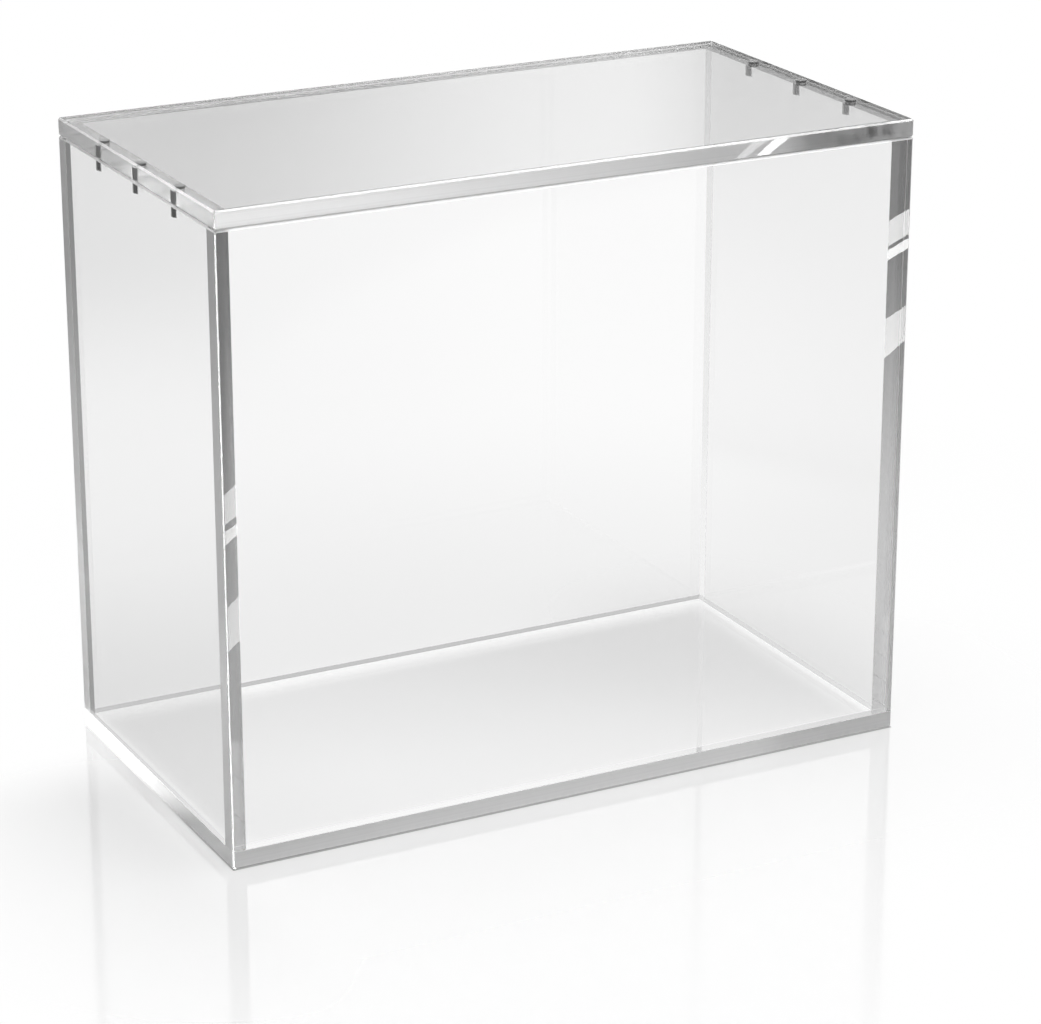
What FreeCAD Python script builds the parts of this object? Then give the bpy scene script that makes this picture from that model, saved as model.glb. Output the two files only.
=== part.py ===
import FreeCAD, Part
import os

# Clear acrylic display case: five sheet panels bonded into an open box, and a loose lid.
# The lid rests on the rim of the walls and is held there by magnet pairs hidden in the
# two short walls and in the lid above them.
# Origin: middle of the underside. +X runs along the width, +Y from front to back, +Z up.
# All sizes are in millimetres.

# Clear room inside the closed case, which the boxed contents need
INSIDE_WIDTH = 194.0
INSIDE_DEPTH = 98.0
INSIDE_HEIGHT = 168.0

# Sheet that each panel is cut from
FACE_SHEET = 5.0   # front and back panels, which run the full width
SIDE_SHEET = 5.0   # left and right panels, which stand between those two
BASE_SHEET = 5.0
LID_SHEET = 5.0

# Joints and edges
CEMENT_FILM = 0.05   # bond line between two panels
LID_SEAT_GAP = 0.05  # between the rim and the loose lid
EDGE_CHAMFER = 0.5   # polished flat on each outer edge

# Magnet pairs, one magnet in the side panel's top edge and one above it in the lid
MAGNETS_PER_SIDE = 3
MAGNET_SPACING = 26.0
MAGNET_DIAMETER = 3.0
MAGNET_EDGE_CHAMFER = 0.2
WALL_MAGNET_LENGTH = 3.0
LID_POCKET_SKIN = 1.3  # acrylic left between a lid pocket and the lid's top face
GLUE_FILM = 0.05       # glue round a magnet and behind it
MAGNET_RECESS = 0.25   # each magnet sits this far below its own mating face

# Sizes that follow from those above
OUTER_WIDTH = INSIDE_WIDTH + 2 * SIDE_SHEET
OUTER_DEPTH = INSIDE_DEPTH + 2 * FACE_SHEET
WALL_FOOT = BASE_SHEET + CEMENT_FILM
RIM_HEIGHT = BASE_SHEET + INSIDE_HEIGHT
LID_UNDERSIDE = RIM_HEIGHT + LID_SEAT_GAP
LID_TOP = LID_UNDERSIDE + LID_SHEET
LID_MAGNET_LENGTH = LID_SHEET - LID_POCKET_SKIN - GLUE_FILM - MAGNET_RECESS
POCKET_DIAMETER = MAGNET_DIAMETER + 2 * GLUE_FILM

HALF_WIDTH = OUTER_WIDTH / 2
HALF_DEPTH = OUTER_DEPTH / 2
ON_PLANE = 1e-6  # how close an edge lies to a plane that it is on


# Sheet panels


def sheet(x_span, y_span, z_span):
    """A rectangular panel between three pairs of limits."""
    low = FreeCAD.Vector(x_span[0], y_span[0], z_span[0])
    size = FreeCAD.Vector(x_span[1], y_span[1], z_span[1]) - low
    return Part.makeBox(size.x, size.y, size.z, low)


def lies_on(edge, axis, level):
    """True if every end of the edge has this coordinate."""
    return all(abs(vertex.Point[axis] - level) < ON_PLANE for vertex in edge.Vertexes)


def polish_edges(panel, floor=None, top=None):
    """Chamfers the edges where two outer planes of the case, or of the panel, meet."""
    planes = [(0, -HALF_WIDTH), (0, HALF_WIDTH), (1, -HALF_DEPTH), (1, HALF_DEPTH)]
    if floor is not None:
        planes.append((2, floor))
    if top is not None:
        planes.append((2, top))
    exposed = []
    for edge in panel.Edges:
        shared = sum(lies_on(edge, axis, level) for axis, level in planes)
        if shared >= 2:
            exposed.append(edge)
    return panel.makeChamfer(EDGE_CHAMFER, exposed)


def base_panel():
    """Floor sheet under all four walls."""
    panel = sheet((-HALF_WIDTH, HALF_WIDTH), (-HALF_DEPTH, HALF_DEPTH), (0, BASE_SHEET))
    return polish_edges(panel, floor=0)


def face_panel(side):
    """Front (side -1) or back (side +1) sheet, over the full width."""
    outer = side * HALF_DEPTH
    inner = side * INSIDE_DEPTH / 2
    y_span = (min(outer, inner), max(outer, inner))
    panel = sheet((-HALF_WIDTH, HALF_WIDTH), y_span, (WALL_FOOT, RIM_HEIGHT))
    return polish_edges(panel, top=RIM_HEIGHT)


def side_panel(side):
    """Left (side -1) or right (side +1) sheet, between the face panels, with its pockets."""
    outer = side * HALF_WIDTH
    inner = side * INSIDE_WIDTH / 2
    x_span = (min(outer, inner), max(outer, inner))
    reach = INSIDE_DEPTH / 2 - CEMENT_FILM
    panel = sheet(x_span, (-reach, reach), (WALL_FOOT, RIM_HEIGHT))
    panel = polish_edges(panel, top=RIM_HEIGHT)
    depth = MAGNET_RECESS + WALL_MAGNET_LENGTH + GLUE_FILM
    return panel.cut([pocket(side, y, RIM_HEIGHT - depth, depth) for y in magnet_rows()])


def lid_panel():
    """Loose lid over the whole outline, with blind pockets in its underside."""
    z_span = (LID_UNDERSIDE, LID_TOP)
    panel = sheet((-HALF_WIDTH, HALF_WIDTH), (-HALF_DEPTH, HALF_DEPTH), z_span)
    panel = polish_edges(panel, floor=LID_UNDERSIDE, top=LID_TOP)
    depth = LID_SHEET - LID_POCKET_SKIN
    pockets = []
    for side in (-1, 1):
        pockets += [pocket(side, y, LID_UNDERSIDE, depth) for y in magnet_rows()]
    return panel.cut(pockets)


# Magnet closure


def magnet_rows():
    """Places of one side's magnets from front to back, even about the middle."""
    middle = (MAGNETS_PER_SIDE - 1) / 2
    return [(row - middle) * MAGNET_SPACING for row in range(MAGNETS_PER_SIDE)]


def upright_cylinder(side, y, floor, diameter, height):
    """Cylinder on the middle plane of the left (side -1) or right (side +1) panel."""
    x = side * (HALF_WIDTH - SIDE_SHEET / 2)
    return Part.makeCylinder(diameter / 2, height, FreeCAD.Vector(x, y, floor))


def pocket(side, y, floor, depth):
    """Blind hole for one magnet and its glue."""
    return upright_cylinder(side, y, floor, POCKET_DIAMETER, depth)


def magnet(side, y, floor, length):
    """Plated cylinder magnet with chamfered rims."""
    body = upright_cylinder(side, y, floor, MAGNET_DIAMETER, length)
    rims = [edge for edge in body.Edges if len(edge.Vertexes) == 1]
    return body.makeChamfer(MAGNET_EDGE_CHAMFER, rims)


def magnet_closure():
    """All magnets by node name, the rows counted from the front."""
    wall_floor = RIM_HEIGHT - MAGNET_RECESS - WALL_MAGNET_LENGTH
    lid_floor = LID_UNDERSIDE + MAGNET_RECESS
    magnets = {}
    for side, word in ((-1, "left"), (1, "right")):
        for row, y in enumerate(magnet_rows(), start=1):
            magnets[f"wall_magnet_{word}_{row}"] = magnet(side, y, wall_floor, WALL_MAGNET_LENGTH)
            magnets[f"lid_magnet_{word}_{row}"] = magnet(side, y, lid_floor, LID_MAGNET_LENGTH)
    return magnets


# Whole case


def display_case():
    """Every piece of the closed case by node name."""
    pieces = {
        "base_panel": base_panel(),
        "front_panel": face_panel(-1),
        "back_panel": face_panel(1),
        "left_panel": side_panel(-1),
        "right_panel": side_panel(1),
        "lid_panel": lid_panel(),
    }
    pieces.update(magnet_closure())
    return pieces


def main():
    os.makedirs("parts", exist_ok=True)
    for name, shape in display_case().items():
        shape.exportStep(f"parts/{name}.step")
        print(f"{name}: {shape.Volume / 1000:.3f} cm3, valid {shape.isValid()}, {len(shape.Solids)} solid")
    print(f"outside {OUTER_WIDTH:.1f} x {OUTER_DEPTH:.1f} x {LID_TOP:.2f} mm")


main()
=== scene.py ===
# %% [markdown]
# A clear acrylic display case, dressed for a product picture.
# The case is six polished sheets: four walls and a base bonded into an open box, and a
# loose lid. Small plated magnets hide in the two short walls and in the lid above them.
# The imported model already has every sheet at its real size, so it is loaded first and
# kept as a fixed frame. What follows is finish, light and camera, and finer magnets.
# Lengths are in metres. x runs along the width, y from front to back and z up.

# %% Load the frame
import bpy
import math
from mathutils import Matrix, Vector


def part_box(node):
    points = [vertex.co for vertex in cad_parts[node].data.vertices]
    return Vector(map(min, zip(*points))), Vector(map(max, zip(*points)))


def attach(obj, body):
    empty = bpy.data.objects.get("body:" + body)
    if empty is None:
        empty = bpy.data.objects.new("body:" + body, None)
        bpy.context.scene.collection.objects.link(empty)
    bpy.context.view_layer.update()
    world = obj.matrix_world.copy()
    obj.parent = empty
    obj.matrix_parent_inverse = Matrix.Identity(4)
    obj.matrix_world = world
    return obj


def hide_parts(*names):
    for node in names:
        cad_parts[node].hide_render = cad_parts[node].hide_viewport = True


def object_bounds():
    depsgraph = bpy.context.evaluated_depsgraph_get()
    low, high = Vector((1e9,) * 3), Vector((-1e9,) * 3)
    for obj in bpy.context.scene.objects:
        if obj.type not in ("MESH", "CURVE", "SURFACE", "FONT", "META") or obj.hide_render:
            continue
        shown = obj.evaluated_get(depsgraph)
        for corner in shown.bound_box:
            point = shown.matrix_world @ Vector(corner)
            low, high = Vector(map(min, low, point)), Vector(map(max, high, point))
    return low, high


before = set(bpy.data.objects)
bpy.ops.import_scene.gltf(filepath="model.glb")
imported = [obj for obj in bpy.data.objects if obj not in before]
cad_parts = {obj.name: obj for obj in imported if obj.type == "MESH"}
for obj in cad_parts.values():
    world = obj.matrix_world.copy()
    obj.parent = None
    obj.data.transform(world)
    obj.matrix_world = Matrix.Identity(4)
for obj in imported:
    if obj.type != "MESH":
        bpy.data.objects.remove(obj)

cad_low, cad_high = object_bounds()
CENTRE = (cad_low + cad_high) / 2
scene = bpy.context.scene
print("frame", sorted(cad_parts), "box", tuple(cad_high - cad_low))

# %% [markdown]
# The camera stands in front and to the left, a little above the lid, about a metre away.
# It could be moved by hand until the view looks right, but numbers are easier to check.
# These come from matching the corners of the case in the picture, and are given as a
# photographer would: how far round, how high, how far away and which lens. The picture's
# middle lies a little below and to the right of the middle of the case.

# %% Camera
VIEW_AZIMUTH = math.radians(-27.43)
VIEW_ELEVATION = math.radians(20.1)
VIEW_DISTANCE = 1.0
AIM_RIGHT = 0.0094
AIM_UP = -0.0225
SENSOR_WIDTH_MM = 36.0
LENS_MM = 124.5


def make_camera():
    data = bpy.data.cameras.new("picture_camera")
    data.sensor_width = SENSOR_WIDTH_MM
    data.lens = LENS_MM
    camera = bpy.data.objects.new("picture_camera", data)
    scene.collection.objects.link(camera)
    back = Vector((
        math.sin(VIEW_AZIMUTH) * math.cos(VIEW_ELEVATION),
        -math.cos(VIEW_AZIMUTH) * math.cos(VIEW_ELEVATION),
        math.sin(VIEW_ELEVATION),
    ))
    turn = (-back).to_track_quat("-Z", "Y")
    aim = CENTRE + turn @ Vector((AIM_RIGHT, AIM_UP, 0))
    camera.location = aim + back * VIEW_DISTANCE
    camera.rotation_euler = turn.to_euler()
    scene.camera = camera
    return camera


print("camera at", tuple(make_camera().location))

# %% [markdown]
# Node trees are easier to read when each node is one short call. add_node makes a node
# with its settings, and plugs each input with a number or with another node's output. The
# same call serves materials, the world and Geometry Nodes.

# %% Node helpers
def plug(tree, target, value):
    """Links an output to an input, or sets the input to a plain value."""
    if isinstance(value, bpy.types.NodeSocket):
        tree.links.new(value, target)
    else:
        target.default_value = value


def add_node(tree, kind, inputs=None, **settings):
    """Adds a node. settings are its properties, inputs go by name or by place."""
    made = tree.nodes.new(kind)
    for name, setting in settings.items():
        setattr(made, name, setting)
    for name, value in (inputs or {}).items():
        plug(tree, made.inputs[name], value)
    return made


print("helpers", plug.__name__, add_node.__name__)

# %% [markdown]
# The same few sums come up again and again, so each has a short name. Masks are numbers
# that are 1 where something holds and 0 elsewhere: times joins two of them, highest takes
# either, and blend uses one to choose between two levels. fade makes a soft change.

# %% Sums
def calc(tree, operation, *terms):
    return add_node(tree, "ShaderNodeMath", dict(enumerate(terms)), operation=operation).outputs[0]


def above(tree, value, limit):
    return calc(tree, "GREATER_THAN", value, limit)


def opposite(tree, mask):
    return calc(tree, "SUBTRACT", 1.0, mask)


def times(tree, first, *others):
    product = first
    for factor in others:
        product = calc(tree, "MULTIPLY", product, factor)
    return product


def highest(tree, first, *others):
    top = first
    for level in others:
        top = calc(tree, "MAXIMUM", top, level)
    return top


def split_axes(tree, vector):
    return add_node(tree, "ShaderNodeSeparateXYZ", {0: vector}).outputs


def fade(tree, value, start, end, first, last):
    """first up to start, last from end on, and a smooth change between."""
    limits = {0: value, 1: start, 2: end, 3: first, 4: last}
    return add_node(tree, "ShaderNodeMapRange", limits, interpolation_type="SMOOTHSTEP").outputs[0]


def blend(tree, share, first, second):
    inputs = {"Factor": share, "A": first, "B": second}
    return add_node(tree, "ShaderNodeMix", inputs).outputs["Result"]


print("sums from", calc.__name__, "to", blend.__name__)

# %% [markdown]
# What a ray shows in clear plastic depends on what it met on its way. Blender's Light Path
# node counts that: Glossy Depth is how often the ray was mirrored, and Transmission Depth
# is how often it passed through a surface. The counts are whole numbers, so each limit
# lies halfway between two of them. A ray that was mirrored twice or more has usually been
# piped, which means that it ran inside a sheet and was thrown back by its faces. Room,
# ground and light cards all ask the same questions, so one function answers them.

# %% Ray counts
ONCE = 0.5
TWICE = 1.5
ONE_SHEET = 3.5    # surfaces, of which one sheet has two
WHOLE_SHEET = 8.5  # mirrorings on the way along a whole sheet


def ray_counts(tree):
    """Masks that say what happened to the ray before it came here."""
    path = add_node(tree, "ShaderNodeLightPath").outputs
    mirrored = path["Glossy Depth"]
    through = path["Transmission Depth"]
    return {
        "mirrored": above(tree, mirrored, ONCE),
        "piped": above(tree, mirrored, TWICE),
        "whole": above(tree, mirrored, WHOLE_SHEET),
        "through": above(tree, through, ONCE),
        "far": above(tree, through, ONE_SHEET),
    }


print("piped from", math.ceil(TWICE), "mirrorings, a whole sheet from", math.ceil(WHOLE_SHEET))

# %% [markdown]
# Clear plastic has no colour of its own: it shows what is around it. The picture was lit
# as glass is usually lit. The ground and the air behind are white, so whatever is seen
# straight through a pane is white, while the room round it is dim, so what the panes
# mirror is grey. That contrast is what draws the edges. A photograph of a studio could be
# wrapped round the scene, but a few levels that fade into each other are easier to set.
# The walls are dim, with a brighter part at the back right, which puts the soft light
# patch on the lid. At the front right they have three levels: dim for a ray that was only
# mirrored, brighter for a piped one, and brightest for one that ran along a whole sheet,
# because cut edges gather light.

# %% Room walls
DIM_WALL = 0.28
BRIGHT_WALL = 0.78
RIGHT_WALL = 0.27
RIGHT_THROUGH = 1.0
FRONT_WALL = 0.25
FRONT_PIPED = 2.2
FRONT_WHOLE = 6.0
# Headings are counted from straight back, positive towards the right
BRIGHT_FROM = math.radians(21.5)
BRIGHT_AT = math.radians(29.0)
BRIGHT_TO = math.radians(31.0)
FRONT_FROM = math.radians(90.0)
FRONT_AT = math.radians(130.0)


def room_walls(tree, heading, ray):
    """How bright the walls are in each heading."""
    right = blend(tree, ray["through"], RIGHT_WALL, RIGHT_THROUGH)
    right = fade(tree, heading, BRIGHT_AT, BRIGHT_TO, BRIGHT_WALL, right)
    back = blend(tree, fade(tree, heading, BRIGHT_FROM, BRIGHT_AT, 0, 1), DIM_WALL, right)
    front = blend(tree, ray["piped"], FRONT_WALL, FRONT_PIPED)
    near_whole = times(tree, ray["whole"], opposite(tree, ray["far"]))
    front = blend(tree, near_whole, front, FRONT_WHOLE)
    return blend(tree, fade(tree, heading, FRONT_FROM, FRONT_AT, 0, 1), back, front)


print("walls from", DIM_WALL, "to", BRIGHT_WALL)

# %% [markdown]
# Above the walls the room is pale. Its lower part is greyer for rays that came through a
# surface, and piped rays see a level for each side of the room. Two lamps stand where the
# chamfers of the lid mirror them towards the camera: a bright window at the back left, for
# the chamfer along the lid's left side, and a light high up at the front right, for the
# one along its front. Rays that have been inside the plastic don't see the lamps.

# %% Room ceiling
# Heights are the z of a direction, from 0 at the horizon to 1 overhead
CEILING_RISE = (0.28, 0.34)
THROUGH_CEILING = 0.55
THROUGH_RISE = (0.385, 0.415)
PIPED_LEFT = 0.85
PIPED_RIGHT = 0.8
PIPED_LOW = 1.05
PIPED_RISE = (0.385, 0.425)
WINDOW = 3.0
WINDOW_FROM = math.radians(-25.0)
WINDOW_END = (math.radians(-16.4), math.radians(-14.2))
WINDOW_SILL = (0.28, 0.32)
TOP_LIGHT = 6.0
TOP_LIGHT_RISE = (0.5, 0.6)


def room_ceiling(tree, heading, height, ray):
    """How bright the room is above the walls."""
    low = fade(tree, height, *THROUGH_RISE, THROUGH_CEILING, 1.0)
    plain = blend(tree, ray["through"], 1.0, low)
    right = fade(tree, height, *PIPED_RISE, PIPED_LOW, PIPED_RIGHT)
    far_front = times(tree, ray["far"], above(tree, heading, FRONT_FROM))
    right = blend(tree, far_front, right, THROUGH_CEILING)
    piped = blend(tree, above(tree, heading, 0.0), PIPED_LEFT, right)
    return blend(tree, ray["piped"], plain, piped)


def room_lamps(tree, heading, height):
    """How much the window and the top light add."""
    across = fade(tree, heading, *WINDOW_END, WINDOW, 0)
    across = times(tree, across, above(tree, heading, WINDOW_FROM))
    window = times(tree, across, fade(tree, height, *WINDOW_SILL, 0, 1))
    top = fade(tree, height, *TOP_LIGHT_RISE, 0, TOP_LIGHT)
    top = times(tree, above(tree, heading, FRONT_FROM), top)
    return calc(tree, "ADD", window, top)


print("lamps", WINDOW, TOP_LIGHT)

# %% [markdown]
# Now the pieces of the room go into one world. A ray that has never been mirrored sees
# plain white, which is the white background of the picture, and any other sees the room.
# The world is not sampled as a lamp, because what it gives depends on the ray that asks.

# %% Room
WHITE = (1, 1, 1, 1)


def make_room():
    world = bpy.data.worlds.new("studio_room")
    world.use_nodes = True
    world.cycles.sampling_method = "NONE"
    tree = world.node_tree
    tree.nodes.clear()
    ray = ray_counts(tree)
    along = split_axes(tree, add_node(tree, "ShaderNodeTexCoord").outputs["Generated"])
    height = along["Z"]
    heading = calc(tree, "ARCTAN2", along["X"], along["Y"])
    walls = room_walls(tree, heading, ray)
    ceiling = room_ceiling(tree, heading, height, ray)
    room = blend(tree, fade(tree, height, *CEILING_RISE, 0, 1), walls, ceiling)
    lit = calc(tree, "ADD", room, room_lamps(tree, heading, height))
    room = blend(tree, highest(tree, ray["through"], ray["piped"]), lit, room)
    seen = blend(tree, ray["mirrored"], 1.0, room)
    light = add_node(tree, "ShaderNodeBackground", {"Color": WHITE, "Strength": seen})
    add_node(tree, "ShaderNodeOutputWorld", {"Surface": light.outputs[0]})
    scene.world = world
    return world


print("room", make_room().name)

# %% [markdown]
# The ground is a large white sheet under the case. What it shows at a spot depends on where
# that spot is, so this is worked out first: how far it lies past the outline of the case,
# whether it is below the case, and how far in from the outline it then is. The outline is
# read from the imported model.

# %% Ground spot
GROUND_DROP = 0.0001
FOOTPRINT = (cad_high.x, cad_high.y, 1.0)  # half sizes of the case, and a height that never counts


def vector_calc(tree, operation, *terms):
    made = add_node(tree, "ShaderNodeVectorMath", dict(enumerate(terms)), operation=operation)
    return made.outputs["Vector"]


def measure(tree, operation, *terms):
    """A sum of vectors that ends in one number."""
    made = add_node(tree, "ShaderNodeVectorMath", dict(enumerate(terms)), operation=operation)
    return made.outputs["Value"]


def ground_spot(tree):
    """Where a spot of the ground lies beside or below the case."""
    place = add_node(tree, "ShaderNodeTexCoord").outputs["Object"]
    size = vector_calc(tree, "ABSOLUTE", place)
    past = vector_calc(tree, "MAXIMUM", vector_calc(tree, "SUBTRACT", size, FOOTPRINT), (0, 0, 0))
    gap = measure(tree, "LENGTH", past)
    sides = split_axes(tree, size)
    inset_x = calc(tree, "SUBTRACT", FOOTPRINT[0], sides["X"])
    inset_y = calc(tree, "SUBTRACT", FOOTPRINT[1], sides["Y"])
    return {
        "place": place,
        "across": split_axes(tree, place),
        "gap": gap,
        "below": calc(tree, "LESS_THAN", gap, GROUND_DROP),
        "inset": calc(tree, "MINIMUM", inset_x, inset_y),
    }


print("footprint", FOOTPRINT[:2])

# %% [markdown]
# A plain white surface would come out grey here and there and end in a horizon, so most of
# the ground gives white light of its own. Where the front of the base meets the ground, that
# light is dimmed to a thin dark line, a painted contact shadow. Seen through the plastic, the
# ground under the back and right rims of the base is painted to glow a little, as the rims
# do in the picture.

# %% Ground white
# Painted contact shadow: the level that the ground's own light drops to under the front of the base.
CONTACT_SHADE = 0.35
CONTACT_SHADE_FADE = (-0.03, 0.02)
RIM_GLOW = 1.14
BACK_GLOW_REACH = (0.004, 0.012)
RIGHT_GLOW_REACH = (0.0042, 0.0055)


def ground_white(tree, spot, ray):
    """How much light the white part of the ground gives."""
    x, y = spot["across"]["X"], spot["across"]["Y"]
    back_glow = fade(tree, calc(tree, "SUBTRACT", FOOTPRINT[1], y), *BACK_GLOW_REACH, 1, 0)
    right_glow = fade(tree, calc(tree, "SUBTRACT", FOOTPRINT[0], x), *RIGHT_GLOW_REACH, 1, 0)
    glow = times(tree, highest(tree, back_glow, right_glow), spot["below"])
    # Painted glow: the ground's own light rises a little under the back and right rims.
    glow = blend(tree, glow, 1.0, RIM_GLOW)
    # Painted contact shadow: ground that is seen directly under the base is dimmed towards the front.
    contact_shade = blend(tree, spot["below"], 1.0, fade(tree, y, *CONTACT_SHADE_FADE, CONTACT_SHADE, 1))
    return blend(tree, ray["through"], contact_shade, glow)


print("contact line", CONTACT_SHADE, "rim glow", RIM_GLOW)

# %% [markdown]
# Close to the case the ground turns from white light into matt paper, which takes a soft
# shadow by itself. It is most matt on the left, less so along the front, and not at all
# behind the case. Under the base the shadow deepens towards the back right. Seen through
# the plastic, a shade also lies beyond the right side of the base.

# %% Ground shadow
SHADOW_REACH = 0.1
SHADOW_FRONT = 0.25
SHADOW_LEFT = 0.9
SHADOW_LEFT_FADE = (-1.2 * cad_high.x, -0.9 * cad_high.x)
SHADOW_END = 0.04
RIGHT_SHADE = 0.6
RIGHT_SHADE_FADE = (0.3 * cad_high.x, 1.1 * cad_high.x)
RIGHT_SHADE_REACH = 0.06
UNDER_LEFT = 0.18
UNDER_BACK = 0.34
UNDER_RIM = 0.014
BACK_RIGHT = (0.5, 0.5, 0)


def ground_shadow(tree, spot, ray):
    """How matt the ground is, and so how much shadow it takes."""
    x, y = spot["across"]["X"], spot["across"]["Y"]
    darkest = fade(tree, x, *SHADOW_LEFT_FADE, SHADOW_LEFT, SHADOW_FRONT)
    darkest = times(tree, darkest, fade(tree, y, 0, SHADOW_END, 1, 0))
    around = fade(tree, spot["gap"], 0, SHADOW_REACH, darkest, 0)
    shade = fade(tree, x, *RIGHT_SHADE_FADE, 0, RIGHT_SHADE)
    shade = times(tree, shade, fade(tree, spot["gap"], 0, RIGHT_SHADE_REACH, 1, 0))
    around = highest(tree, around, times(tree, shade, ray["through"]))
    corner = measure(tree, "DOT_PRODUCT", spot["place"], BACK_RIGHT)
    under = fade(tree, corner, 0, cad_high.y, UNDER_LEFT, UNDER_BACK)
    under = fade(tree, spot["inset"], 0, UNDER_RIM, 0, under)
    return blend(tree, spot["below"], around, under)


print("shadow reaches", SHADOW_REACH, "past the outline")

# %% [markdown]
# Mirrored rays see the ground lit in round pools instead. Rays that were mirrored once come
# from the broad panes, and two pools set how grey each pane looks. Where such a ray has
# crossed two sheets, the pools gain brightness towards the right. Piped rays come from the
# cut edges and have pools of their own, with another one beyond two sheets, and two more
# directly under the case for rays that ran down a whole wall.

# %% Ground pools
# Each pool: centre x, centre y, radius of the bright middle, radius of its end, bright, dim
PANE_POOLS = (
    (-0.19, 0.26, 0.05, 0.28, 0.78, 0.4),
    (0.46, -0.1, 0.5, 0.55, 0.7, 0.4),
)
EDGE_POOLS = (
    (0.12, -0.1, 0.03, 0.45, 0.75, 0.3),
    (0.12, 0.75, 0.12, 0.38, 1.55, 0.3),
    (0.44, -0.7, 0.2, 0.27, 2.2, 0.3),
)
JOINT_POOLS = (
    (0.12, 0.1, 0.03, 0.45, 0.85, 0.25),
)
# Circles so wide that their borders run almost straight along the left and the back wall
UNDER_POOLS = (
    (-1.0, 0, 0.91, 0.914, 3.4, 0.6),
    (0, 1.0, 0.958, 0.962, 1.3, 0.6),
)
FAR_HEADING = (0.939, 0.343, 0)
FAR_FADE = (-0.045, 0.13)
FAR_GAIN = (0.3, 1.35)


def pools(tree, place, sizes):
    rounds = []
    for x, y, inner, outer, bright, dim in sizes:
        reach = measure(tree, "DISTANCE", place, (x, y, 0))
        rounds.append(fade(tree, reach, inner, outer, bright, dim))
    return highest(tree, *rounds)


def ground_pools(tree, spot, ray):
    """How bright the ground is for mirrored rays."""
    place = spot["place"]
    beside = measure(tree, "DOT_PRODUCT", place, FAR_HEADING)
    gain = blend(tree, ray["far"], 1.0, fade(tree, beside, *FAR_FADE, *FAR_GAIN))
    panes = times(tree, pools(tree, place, PANE_POOLS), gain)
    edges = blend(tree, ray["far"], pools(tree, place, EDGE_POOLS), pools(tree, place, JOINT_POOLS))
    feet = times(tree, spot["below"], ray["whole"])
    edges = blend(tree, feet, edges, pools(tree, place, UNDER_POOLS))
    return blend(tree, ray["piped"], panes, edges)


print("pools", len(PANE_POOLS + EDGE_POOLS + JOINT_POOLS + UNDER_POOLS))

# %% [markdown]
# White light, matt shadow and pools are mixed into one ground material. A slight gloss
# close to the case gives the weak mirror image below the base. The sheet itself is a single
# large square, a hair below the case so that the two never lie in the same plane.

# %% Ground
GROUND_HALF = 6.0
GLOSS_REACH = 0.22
GLOSS_SHARE = 0.25
GLOSS_ROUGHNESS = 0.08


def mix_shaders(tree, share, first, second):
    return add_node(tree, "ShaderNodeMixShader", {0: share, 1: first, 2: second}).outputs[0]


def new_material(name):
    """An empty material, its tree and its output."""
    material = bpy.data.materials.new(name)
    material.use_nodes = True
    tree = material.node_tree
    tree.nodes.clear()
    return material, tree, add_node(tree, "ShaderNodeOutputMaterial").inputs["Surface"]


def ground_material():
    material, tree, surface = new_material("white_ground")
    material.cycles.emission_sampling = "NONE"
    ray = ray_counts(tree)
    spot = ground_spot(tree)
    white = add_node(tree, "ShaderNodeEmission", {"Strength": ground_white(tree, spot, ray)})
    matt = add_node(tree, "ShaderNodeBsdfDiffuse", {"Color": WHITE})
    paper = mix_shaders(tree, ground_shadow(tree, spot, ray), white.outputs[0], matt.outputs[0])
    gloss = add_node(tree, "ShaderNodeBsdfAnisotropic", {"Color": WHITE, "Roughness": GLOSS_ROUGHNESS})
    shine = fade(tree, spot["gap"], 0, GLOSS_REACH, GLOSS_SHARE, 0)
    shine = blend(tree, spot["below"], shine, 0.0)
    paper = mix_shaders(tree, shine, paper, gloss.outputs[0])
    lit = add_node(tree, "ShaderNodeEmission", {"Strength": ground_pools(tree, spot, ray)})
    plug(tree, surface, mix_shaders(tree, ray["mirrored"], paper, lit.outputs[0]))
    return material


def make_ground():
    corners = [(-1, -1), (1, -1), (1, 1), (-1, 1)]
    mesh = bpy.data.meshes.new("white_ground")
    places = [(x * GROUND_HALF, y * GROUND_HALF, -GROUND_DROP) for x, y in corners]
    mesh.from_pydata(places, [], [(0, 1, 2, 3)])
    mesh.materials.append(ground_material())
    ground = bpy.data.objects.new("white_ground", mesh)
    scene.collection.objects.link(ground)
    return ground


print("ground", make_ground().name)

# %% [markdown]
# The picture shows crisp slanted glare on the front: three patches on each upright edge and
# a pair on the lid's edge. Painting it on would look wrong from anywhere else, so it is
# made as in a studio, with bright cards on the ground that the front mirrors. Each patch
# is written where it shows on the front, and its card is found by mirroring the camera in
# the front and drawing lines from there through the patch's corners down to the ground.

# %% Glare cards
CARD_LIFT = 0.0002
MM_PER_METRE = 1000
FRONT_FACING = Vector((0, -1, 0))
# Patches on the front, in millimetres: left x, right x, foot and top at the left, foot and
# top at the right, brightness
UPRIGHT_PATCHES = (
    (-102, -98.2, 95.8, 103.7, 98.2, 106.6, 9.0),
    (-102, -98.2, 90.2, 94.1, 93.0, 96.0, 11.0),
    (-102, -98.2, 61.2, 73.1, 64.3, 76.6, 8.0),
    (95.0, 102, 143.4, 150.6, 146.2, 153.4, 13.0),
    (95.0, 102, 139.4, 142.3, 142.2, 145.1, 17.0),
    (95.0, 102, 111.4, 122.6, 115.9, 126.0, 11.0),
)
# The same on the lid's edge: foot z, top z, left and right at the foot, left and right at
# the top, brightness
LID_PATCHES = (
    (172.5, 179, 44.5, 47.5, 53.5, 58.5, 6.0),
    (172.5, 179, 51.0, 54.5, 60.0, 65.3, 15.0),
)


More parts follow.
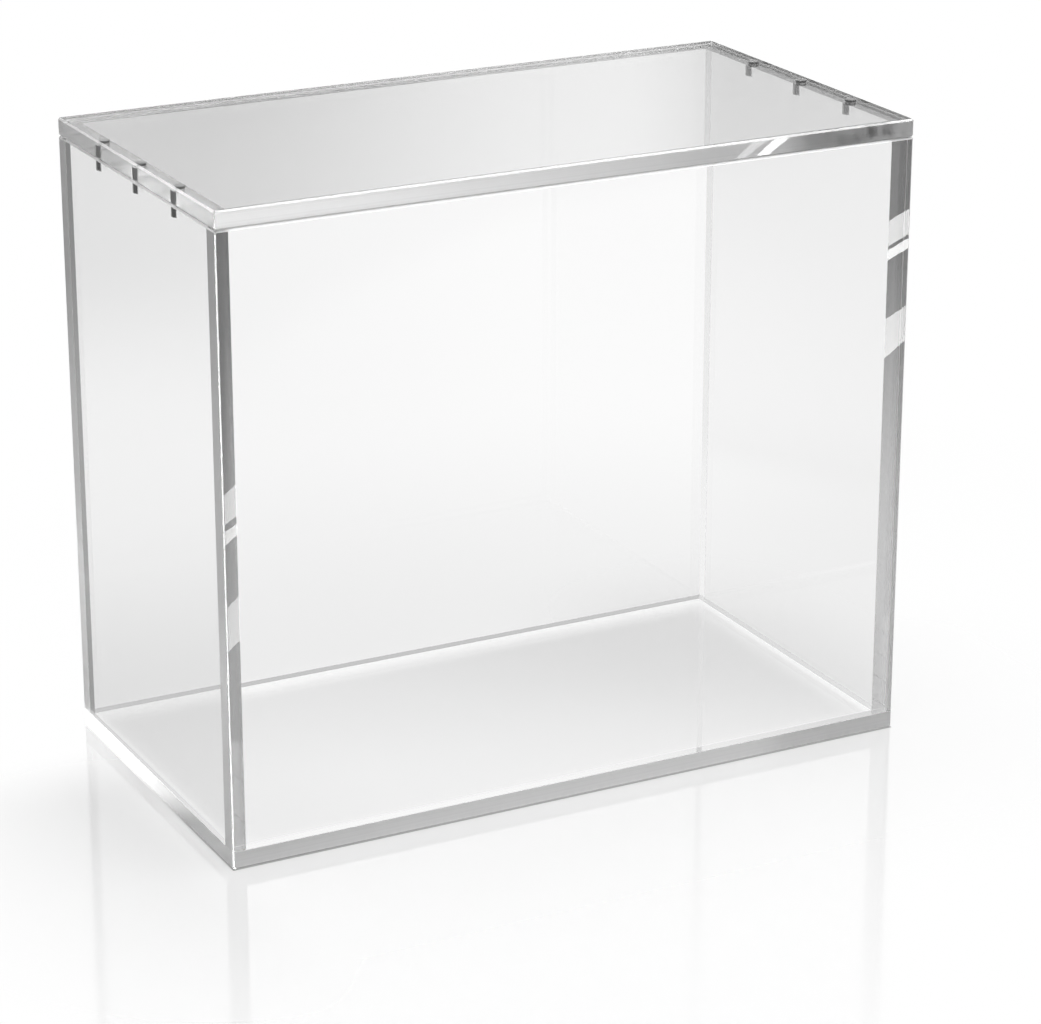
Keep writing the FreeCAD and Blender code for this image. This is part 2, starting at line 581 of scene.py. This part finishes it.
def patch_outlines():
    """Corners of each patch as x and z, and its brightness."""
    outlines = []
    for left, right, left_foot, left_top, right_foot, right_top, bright in UPRIGHT_PATCHES:
        corners = [(left, left_top), (right, right_top), (right, right_foot), (left, left_foot)]
        outlines.append((corners, bright))
    for foot, top, foot_left, foot_right, top_left, top_right, bright in LID_PATCHES:
        corners = [(top_left, top), (top_right, top), (foot_right, foot), (foot_left, foot)]
        outlines.append((corners, bright))
    return outlines


def mirrored_on_ground(spot, facing):
    """Where the ground is seen when a flat that faces this way mirrors it at this spot."""
    eye = scene.camera.location
    eye = eye - 2 * facing * (eye - spot).dot(facing)
    run = spot - eye
    return eye + run * ((CARD_LIFT - eye.z) / run.z)


def glare_cards():
    """Corners, counted so that each card faces up, and the brightness at each corner."""
    cards = []
    for corners, bright in patch_outlines():
        spots = [Vector((x / MM_PER_METRE, cad_low.y, z / MM_PER_METRE)) for x, z in corners]
        places = [mirrored_on_ground(spot, FRONT_FACING) for spot in spots]
        cards.append((places, [bright] * len(places)))
    return cards


print("glare patches", len(patch_outlines()))

# %% [markdown]
# Two edges need light of their own. The near upright chamfer shows a line of light over
# part of its width, and its card is found in the same way as those above. The back half of
# the left edge of the base is white in the picture, so a narrow card lies on the ground
# close beside it. That card is two strips, and the first fades in from front to back.

# %% Edge cards
CHAMFER = 0.0005
CHAMFER_FACING = Vector((-1, -1, 0)).normalized()
CHAMFER_SHARE = (0.2, 0.75)
CHAMFER_BRIGHT = 18.0
BASE_CARD_WIDTH = 0.0042
BASE_CARD_FADE = (-0.025, 0.02)
BASE_CARD_END = 0.066
BASE_CARD_BRIGHT = 3.4


def chamfer_card():
    spots = []
    shares = CHAMFER_SHARE + CHAMFER_SHARE[::-1]
    for share, height in zip(shares, (0, 0, cad_high.z, cad_high.z)):
        x = cad_low.x + CHAMFER * (1 - share)
        spots.append(Vector((x, cad_low.y + CHAMFER * share, height)))
    places = [mirrored_on_ground(spot, CHAMFER_FACING) for spot in spots]
    return places, [CHAMFER_BRIGHT] * len(places)


def base_cards():
    cards = []
    inner = cad_low.x
    outer = cad_low.x - BASE_CARD_WIDTH
    fade_start, fade_end = BASE_CARD_FADE
    stops = [(fade_start, 0), (fade_end, BASE_CARD_BRIGHT), (BASE_CARD_END, BASE_CARD_BRIGHT)]
    for (near, near_bright), (far, far_bright) in zip(stops, stops[1:]):
        corners = [(outer, near), (inner, near), (inner, far), (outer, far)]
        places = [Vector((x, y, CARD_LIFT)) for x, y in corners]
        cards.append((places, [near_bright, near_bright, far_bright, far_bright]))
    return cards


def edge_cards():
    return [chamfer_card()] + base_cards()


print("edge cards", len(edge_cards()))

# %% [markdown]
# All cards become one mesh, with the brightness stored at each corner. The material lets
# only those rays see a card, from above, that were mirrored once on an outer face. For all
# other rays the cards are perfectly clear, so they never show in the picture themselves.

# %% Light cards
def card_material():
    material, tree, surface = new_material("light_card")
    material.cycles.emission_sampling = "NONE"
    ray = ray_counts(tree)
    outside = opposite(tree, ray["through"])
    once = calc(tree, "SUBTRACT", ray["mirrored"], ray["piped"])
    upper = opposite(tree, add_node(tree, "ShaderNodeNewGeometry").outputs["Backfacing"])
    seen = times(tree, outside, once, upper)
    bright = add_node(tree, "ShaderNodeAttribute", attribute_name="brightness").outputs["Fac"]
    light = add_node(tree, "ShaderNodeEmission", {"Strength": bright}).outputs[0]
    clear = add_node(tree, "ShaderNodeBsdfTransparent").outputs[0]
    plug(tree, surface, mix_shaders(tree, seen, clear, light))
    return material


def make_cards():
    cards = glare_cards() + edge_cards()
    places = []
    levels = []
    faces = []
    for corners, corner_levels in cards:
        faces.append(tuple(range(len(places), len(places) + len(corners))))
        places += corners
        levels += corner_levels
    mesh = bpy.data.meshes.new("light_cards")
    mesh.from_pydata(places, [], faces)
    mesh.attributes.new("brightness", "FLOAT", "POINT").data.foreach_set("value", levels)
    mesh.materials.append(card_material())
    made = bpy.data.objects.new("light_cards", mesh)
    scene.collection.objects.link(made)
    return made


print("cards", len(make_cards().data.polygons))

# %% [markdown]
# Each magnet is glued into a blind pocket, in the lid from below and in the walls from
# above. Where glue wets the plastic, the surface of the pocket all but vanishes. The packed
# sheets stay as they are, so these surfaces are found by their place. The end of a pocket
# faces the lid's seat from a few millimetres away, and a hidden cut surface above the seat
# can only be the wall of a pocket in the lid.

# %% Glued pockets
SEAT_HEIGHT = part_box("lid_panel")[0].z
SEAT_WITHIN = 0.001
POCKET_WITHIN = 0.0045
POCKET_MOUTH = 0.0003


def glued_mask(group, height, up, hidden):
    """Ends of the pockets in lid and walls, and the walls of the lid's pockets."""
    rise = calc(group, "SUBTRACT", height, SEAT_HEIGHT)
    facing_seat = calc(group, "LESS_THAN", times(group, rise, up), -SEAT_WITHIN)
    in_pocket = calc(group, "LESS_THAN", calc(group, "ABSOLUTE", rise), POCKET_WITHIN)
    pocket_end = times(group, facing_seat, in_pocket)
    pocket_wall = times(group, hidden, above(group, rise, POCKET_MOUTH))
    return highest(group, pocket_end, pocket_wall)


print("seat of the lid at", SEAT_HEIGHT)

# %% [markdown]
# Cast acrylic sheet is glossy on its two broad faces. Its cut edges are sawn and planed.
# Those that stay open on the outside are buffed and keep a satin look with fine lines along
# the edge. Those in an upright joint and at the rim are clearer, each in its own degree,
# and the feet of the walls, which the cement wets fully, are as clear as the faces. Small
# chamfers run between them, and those beside the lid's seat are left frosted as they were
# cut. All sheets need this, so it is one group of nodes that puts out a mask for each kind
# of surface. Faces could be given separate materials by hand, but a rule also holds when
# the case changes size. So the sheet's own axis goes in, and the angle between it and the
# surface tells face, chamfer and cut edge apart. The place on the case tells the rest,
# since open edges lie on its outline.

# %% Cut edge group
EDGE_BELOW = 0.35
CHAMFER_AT = 0.707
CHAMFER_WITHIN = 0.2
LINES_PER_METRE = 2200.0
OPEN_WITHIN = 0.0002
EDGE_MASKS = ("Edge", "Joint", "Rim", "Ends", "Fronts", "Chamfer", "Seat", "Glued", "Lines")


def new_group(name, inputs, outputs, tree_kind="ShaderNodeTree"):
    """A node group with its sockets, and the nodes at its two ends."""
    group = bpy.data.node_groups.new(name, tree_kind)
    for way, sockets in (("INPUT", inputs), ("OUTPUT", outputs)):
        for socket, socket_kind in sockets:
            group.interface.new_socket(socket, in_out=way, socket_type=socket_kind)
    given = add_node(group, "NodeGroupInput").outputs
    return group, given, add_node(group, "NodeGroupOutput").inputs


def cut_edge_group():
    outputs = [(name, "NodeSocketFloat") for name in EDGE_MASKS]
    group, given, result = new_group("cut_edge", [("Sheet Axis", "NodeSocketVector")], outputs)
    axis = given["Sheet Axis"]
    coordinate = add_node(group, "ShaderNodeTexCoord").outputs
    place = coordinate["Object"]
    normal = coordinate["Normal"]
    up = split_axes(group, normal)["Z"]
    sides = split_axes(group, vector_calc(group, "ABSOLUTE", place))
    lean = calc(group, "ABSOLUTE", measure(group, "DOT_PRODUCT", normal, axis))
    edge = calc(group, "LESS_THAN", lean, EDGE_BELOW)
    chamfer = calc(group, "COMPARE", lean, CHAMFER_AT, CHAMFER_WITHIN)
    upright = calc(group, "COMPARE", up, 0.0, EDGE_BELOW)
    at_end = above(group, sides["X"], FOOTPRINT[0] - OPEN_WITHIN)
    at_front = above(group, sides["Y"], FOOTPRINT[1] - OPEN_WITHIN)
    hidden = calc(group, "SUBTRACT", edge, highest(group, at_end, at_front))
    at_seat = calc(group, "COMPARE", sides["Z"], SEAT_HEIGHT, SEAT_WITHIN)
    depth = {"W": measure(group, "DOT_PRODUCT", place, axis), "Scale": LINES_PER_METRE}
    lines = add_node(group, "ShaderNodeTexNoise", depth, noise_dimensions="1D")
    masks = {
        "Edge": edge,
        "Joint": times(group, edge, upright),
        "Rim": times(group, edge, above(group, up, EDGE_BELOW)),
        "Ends": times(group, edge, at_end),
        "Fronts": times(group, edge, at_front),
        "Chamfer": chamfer,
        "Seat": times(group, chamfer, at_seat),
        "Glued": glued_mask(group, sides["Z"], up, hidden),
        "Lines": lines.outputs[0],
    }
    for name in EDGE_MASKS:
        plug(group, result[name], masks[name])
    return group


CUT_EDGE = cut_edge_group()
print("group", CUT_EDGE.name, len(CUT_EDGE.nodes), "nodes")

# %% [markdown]
# No sheet is perfectly clean. Wiping leaves a faint haze in broad soft patches, which
# shows only where the surface mirrors something. A picture of smears could be laid on each
# sheet, but noise needs no picture and fits any size, so the haze is a little roughness
# made from two sizes of noise.

# %% Wiped haze group
BROAD_SCALE = 22.0
BROAD_DETAIL = 3.0
FINE_SCALE = 160.0
FINE_DETAIL = 2.0
PATCH_RISE = (0.45, 0.7)


def noise(tree, place, scale, detail):
    inputs = {"Vector": place, "Scale": scale, "Detail": detail}
    return add_node(tree, "ShaderNodeTexNoise", inputs).outputs[0]


def wiped_haze_group():
    inputs = [("Amount", "NodeSocketFloat")]
    outputs = [("Roughness", "NodeSocketFloat")]
    group, given, result = new_group("wiped_haze", inputs, outputs)
    place = add_node(group, "ShaderNodeTexCoord").outputs["Object"]
    patches = fade(group, noise(group, place, BROAD_SCALE, BROAD_DETAIL), *PATCH_RISE, 0, 1)
    fine = noise(group, place, FINE_SCALE, FINE_DETAIL)
    plug(group, result["Roughness"], times(group, patches, fine, given["Amount"]))
    return group


WIPED_HAZE = wiped_haze_group()
print("group", WIPED_HAZE.name, len(WIPED_HAZE.nodes), "nodes")

# %% [markdown]
# All six panels are the same clear plastic, a Principled shader with full transmission and
# acrylic's index of refraction. They differ only in the axis of the sheet and in how its
# cut edges and chamfers came out, so one function makes four materials. That difference is
# partly real, the roughness of their satin, and partly painted shade: a grey in the base
# colour that stands in for the dark bands which light and shade draw along cut edges and
# chamfers. A thin clear coat on open edges and on all chamfers keeps their glare sharp
# although the satin is soft.
# Glue joins magnet and plastic without a gap of air, so light passes between them without
# being bent. The sheets with pockets show that by an alpha of 0 on what the glue wets.

# %% Acrylic
ACRYLIC_IOR = 1.49
JOINT_SATIN = 0.12
CHAMFER_SATIN = 0.25
SEAT_SATIN = 0.6
HAZE = 0.012
LINE_RISE = (0.3, 0.7)
LINE_SHADE = (0.92, 1.0)


def edge_masks(tree, axis):
    group = add_node(tree, "ShaderNodeGroup", node_tree=CUT_EDGE)
    group.inputs["Sheet Axis"].default_value = axis
    return group.outputs


def acrylic_sheet(name, axis, painted_edge_shade, painted_chamfer_shade, rim_satin, end_satin, front_satin, pockets):
    material, tree, surface = new_material(name)
    mask = edge_masks(tree, axis)
    haze = add_node(tree, "ShaderNodeGroup", node_tree=WIPED_HAZE)
    haze.inputs["Amount"].default_value = HAZE
    lines = fade(tree, mask["Lines"], *LINE_RISE, *LINE_SHADE)
    # Painted shade: cut edges and chamfers are greyed to stand in for the dark bands that light draws
    # along them in clear plastic. The lines are real polishing streaks.
    streaks_and_painted_shade = blend(tree, mask["Edge"], 1.0, times(tree, lines, painted_edge_shade))
    streaks_and_painted_shade = blend(tree, mask["Chamfer"], streaks_and_painted_shade, painted_chamfer_shade)
    satins = {
        "Joint": JOINT_SATIN, "Rim": rim_satin, "Ends": end_satin, "Fronts": front_satin,
        "Chamfer": CHAMFER_SATIN, "Seat": SEAT_SATIN,
    }
    levels = [times(tree, mask[part], satin) for part, satin in satins.items()]
    shader = add_node(tree, "ShaderNodeBsdfPrincipled", {
        "Base Color": streaks_and_painted_shade,
        "Roughness": highest(tree, *levels, haze.outputs["Roughness"]),
        "IOR": ACRYLIC_IOR,
        "Transmission Weight": 1.0,
        "Coat Weight": highest(tree, mask["Ends"], mask["Fronts"], mask["Chamfer"]),
        "Coat Roughness": 0.0,
    })
    if pockets:
        plug(tree, shader.inputs["Alpha"], opposite(tree, mask["Glued"]))
    plug(tree, surface, shader.outputs[0])
    return material


print("acrylic with an index of", ACRYLIC_IOR)

# %% [markdown]
# Each packed panel keeps its shape and only gets its new material. Front and back are cut
# from the same kind of sheet, and so are left and right. The lid was buffed most, so its
# edges are the least rough. The greys are painted shade, not a colour of the plastic: they
# darken cut edges and chamfers in place of the dark bands of light and shade along them,
# least on the lid's edges and most on the chamfers of the base. The satins are roughnesses,
# and a grey of 1 would take no light away.

# %% Panels
# Each sheet's satins are real roughness. Its two greys are painted shade on cut edges and chamfers.
FINISHES_AND_PAINTED_SHADE = {
    "face_sheet": {
        "axis": (0, 1, 0), "painted_edge_shade": 0.7, "painted_chamfer_shade": 0.9,
        "rim_satin": 0.03, "end_satin": 0.3, "front_satin": 0.3, "pockets": False,
    },
    "side_sheet": {
        "axis": (1, 0, 0), "painted_edge_shade": 0.7, "painted_chamfer_shade": 0.85,
        "rim_satin": 0.12, "end_satin": 0.3, "front_satin": 0.3, "pockets": True,
    },
    "lid_sheet": {
        "axis": (0, 0, 1), "painted_edge_shade": 0.95, "painted_chamfer_shade": 0.8,
        "rim_satin": 0.0, "end_satin": 0.14, "front_satin": 0.28, "pockets": True,
    },
    "base_sheet": {
        "axis": (0, 0, 1), "painted_edge_shade": 0.8, "painted_chamfer_shade": 0.4,
        "rim_satin": 0.0, "end_satin": 0.3, "front_satin": 0.3, "pockets": False,
    },
}
SHEETS = {name: acrylic_sheet(name, **finish) for name, finish in FINISHES_AND_PAINTED_SHADE.items()}
PANELS = {
    "lid_panel": "lid_sheet",
    "base_panel": "base_sheet",
    "front_panel": "face_sheet",
    "back_panel": "face_sheet",
    "left_panel": "side_sheet",
    "right_panel": "side_sheet",
}
for panel, sheet in PANELS.items():
    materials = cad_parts[panel].data.materials
    materials.clear()
    materials.append(SHEETS[sheet])
print("panels", PANELS)

# %% [markdown]
# The magnets are ground cylinders with nickel plating. The two ends are bare and satin.
# The sides sit in glue in a pocket and carry the same plating, but they are painted almost
# black: painted shade for the dark pocket seen through the clear edge. The cut edge group is
# used again here with the upright axis: its edge mask is now the round side, and its lines
# are the rings that grinding leaves. A little tarnish breaks up the grey, because an even
# grey looks like plastic.

# %% Nickel
UPRIGHT = (0, 0, 1)
END_GREY = 0.75
# The level of the sides is painted shade, the darkness of the pocket, not a colour of the plating.
PAINTED_SIDE_SHADE = 0.08
END_ROUGHNESS = 0.2
SIDE_ROUGHNESS = 0.28
RING_ROUGHNESS = 0.1
RING_DEPTH = 0.00002
TARNISH_PER_METRE = 900.0
TARNISH_DETAIL = 3.0
TARNISH_RISE = (0.35, 0.65)
TARNISH_SHADE = (0.8, 1.0)


def nickel_material():
    material, tree, surface = new_material("nickel_plating")
    mask = edge_masks(tree, UPRIGHT)
    place = add_node(tree, "ShaderNodeTexCoord").outputs["Object"]
    spots = noise(tree, place, TARNISH_PER_METRE, TARNISH_DETAIL)
    tarnish = fade(tree, spots, *TARNISH_RISE, *TARNISH_SHADE)
    # Painted shade: the round sides get an almost black colour in place of the shade inside the glued
    # pocket. The ends keep the grey of nickel.
    plating_and_shade = blend(tree, mask["Edge"], END_GREY, PAINTED_SIDE_SHADE)
    rings = times(tree, mask["Lines"], mask["Edge"])
    rough = blend(tree, mask["Edge"], END_ROUGHNESS, SIDE_ROUGHNESS)
    rough = calc(tree, "ADD", rough, times(tree, rings, RING_ROUGHNESS))
    bump = add_node(tree, "ShaderNodeBump", {"Height": rings, "Distance": RING_DEPTH})
    shader = add_node(tree, "ShaderNodeBsdfPrincipled", {
        "Base Color": times(tree, plating_and_shade, tarnish),
        "Roughness": rough,
        "Metallic": 1.0,
        "Normal": bump.outputs[0],
    })
    plug(tree, surface, shader.outputs[0])
    return material


NICKEL = nickel_material()
print("finish", NICKEL.name)

# %% [markdown]
# Six magnets sit in the lid and six in the walls, all in two rows of three, so one Geometry
# Nodes tree makes them. Inside it a short upright line becomes the axis of a magnet. Its
# points crowd towards the two ends, where the radius shrinks to round the rims, and a
# circle drawn along it is the skin. Copies of that go on the points of a small grid. The
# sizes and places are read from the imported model, so the finer magnets stand exactly where
# the plain ones were.

# %% Magnet tree
RIM_STEPS = 4
AXIS_POINTS = 2 * (RIM_STEPS + 1)
MAGNET_SIDES = 40
SIDES = ("left", "right")


def magnet_axis(tree, given):
    """The upright line of one magnet, and the radius at each of its points."""
    line = add_node(tree, "GeometryNodeCurvePrimitiveLine").outputs[0]
    line = add_node(tree, "GeometryNodeResampleCurve", {"Curve": line, "Count": AXIS_POINTS}).outputs[0]
    index = add_node(tree, "GeometryNodeInputIndex").outputs[0]
    step = calc(tree, "MINIMUM", index, calc(tree, "SUBTRACT", AXIS_POINTS - 1, index))
    turn = times(tree, step, math.pi / 2 / RIM_STEPS)
    shrink = times(tree, given["Rim"], opposite(tree, calc(tree, "SINE", turn)))
    rise = times(tree, given["Rim"], opposite(tree, calc(tree, "COSINE", turn)))
    upper = above(tree, index, RIM_STEPS + 0.5)
    height = blend(tree, upper, rise, calc(tree, "SUBTRACT", given["Length"], rise))
    height = calc(tree, "ADD", height, given["Foot"])
    place = add_node(tree, "ShaderNodeCombineXYZ", {"Z": height}).outputs[0]
    axis = add_node(tree, "GeometryNodeSetPosition", {"Geometry": line, "Position": place})
    return axis.outputs[0], calc(tree, "SUBTRACT", given["Radius"], shrink)


def magnet_tree():
    sizes = ["Radius", "Length", "Rim", "Foot", "Between Sides", "Between Ends"]
    inputs = [(name, "NodeSocketFloat") for name in sizes]
    inputs += [("Rows", "NodeSocketInt"), ("Finish", "NodeSocketMaterial")]
    outputs = [("Magnets", "NodeSocketGeometry")]
    tree, given, result = new_group("magnet_rows", inputs, outputs, "GeometryNodeTree")
    axis, radius = magnet_axis(tree, given)
    ring = add_node(tree, "GeometryNodeCurvePrimitiveCircle", {
        "Resolution": MAGNET_SIDES, "Radius": 1.0}).outputs[0]
    skin = add_node(tree, "GeometryNodeCurveToMesh", {
        "Curve": axis, "Profile Curve": ring, "Scale": radius, "Fill Caps": True}).outputs[0]
    rows = add_node(tree, "GeometryNodeMeshGrid", {
        "Size X": given["Between Sides"], "Size Y": given["Between Ends"],
        "Vertices X": len(SIDES), "Vertices Y": given["Rows"]}).outputs[0]
    copies = add_node(tree, "GeometryNodeInstanceOnPoints", {"Points": rows, "Instance": skin}).outputs[0]
    solid = add_node(tree, "GeometryNodeRealizeInstances", {"Geometry": copies}).outputs[0]
    made = add_node(tree, "GeometryNodeSetMaterial", {
        "Geometry": solid, "Material": given["Finish"]}).outputs[0]
    plug(tree, result["Magnets"], made)
    return tree


MAGNET_TREE = magnet_tree()
print("tree", MAGNET_TREE.name, len(MAGNET_TREE.nodes), "nodes")

# %% [markdown]
# The tree is run once for the lid and once for the case, because a piece can ride on one
# body only. The result is turned into a plain mesh, the modifier is taken off, and the
# finished set replaces the six plain magnets of that body.

# %% Magnets
RIM_ROUND = 0.0002
SMOOTH_BELOW = math.radians(10.0)
ROWS = 3


def magnet_sizes(nodes):
    """What the tree needs to know, read from the first and the last plain magnet."""
    low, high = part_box(nodes[0])
    last_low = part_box(nodes[-1])[0]
    return {
        "Radius": (high.x - low.x) / 2, "Length": high.z - low.z, "Rim": RIM_ROUND, "Foot": low.z,
        "Between Sides": last_low.x - low.x, "Between Ends": last_low.y - low.y,
        "Rows": ROWS, "Finish": NICKEL,
    }


def magnet_set(name, body, start):
    """Six finer magnets for the nodes whose names begin with start."""
    nodes = [f"{start}_{side}_{row}" for side in SIDES for row in range(1, ROWS + 1)]
    sizes = magnet_sizes(nodes)
    piece = bpy.data.objects.new(name, bpy.data.meshes.new(name))
    scene.collection.objects.link(piece)
    rows = piece.modifiers.new("magnet_rows", "NODES")
    rows.node_group = MAGNET_TREE
    for socket in MAGNET_TREE.interface.items_tree:
        if socket.in_out == "INPUT":
            rows[socket.identifier] = sizes[socket.name]
    evaluated = piece.evaluated_get(bpy.context.evaluated_depsgraph_get())
    mesh = bpy.data.meshes.new_from_object(evaluated)
    piece.modifiers.remove(rows)
    piece.data = mesh
    mesh.name = name
    mesh.shade_smooth()
    mesh.set_sharp_from_angle(angle=SMOOTH_BELOW)
    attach(piece, body)
    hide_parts(*nodes)
    return piece


lid_magnets = magnet_set("lid_magnets", "lid", "lid_magnet")
wall_magnets = magnet_set("wall_magnets", "case", "wall_magnet")
for made in (lid_magnets, wall_magnets):
    print(made.name, len(made.data.polygons), "faces", [round(side, 5) for side in made.dimensions])

# %% [markdown]
# The picture is shown without any film curve, so that white stays white. Light that runs
# inside a sheet from one end to the other bounces many times on the way, and would come
# out black if it were cut short, so the number of bounces is raised.

# %% Picture settings
BOUNCES = 48
scene.view_settings.view_transform = "Standard"
scene.cycles.max_bounces = BOUNCES
scene.cycles.transmission_bounces = BOUNCES
scene.cycles.glossy_bounces = BOUNCES
print("view", scene.view_settings.view_transform, "with", BOUNCES, "bounces")
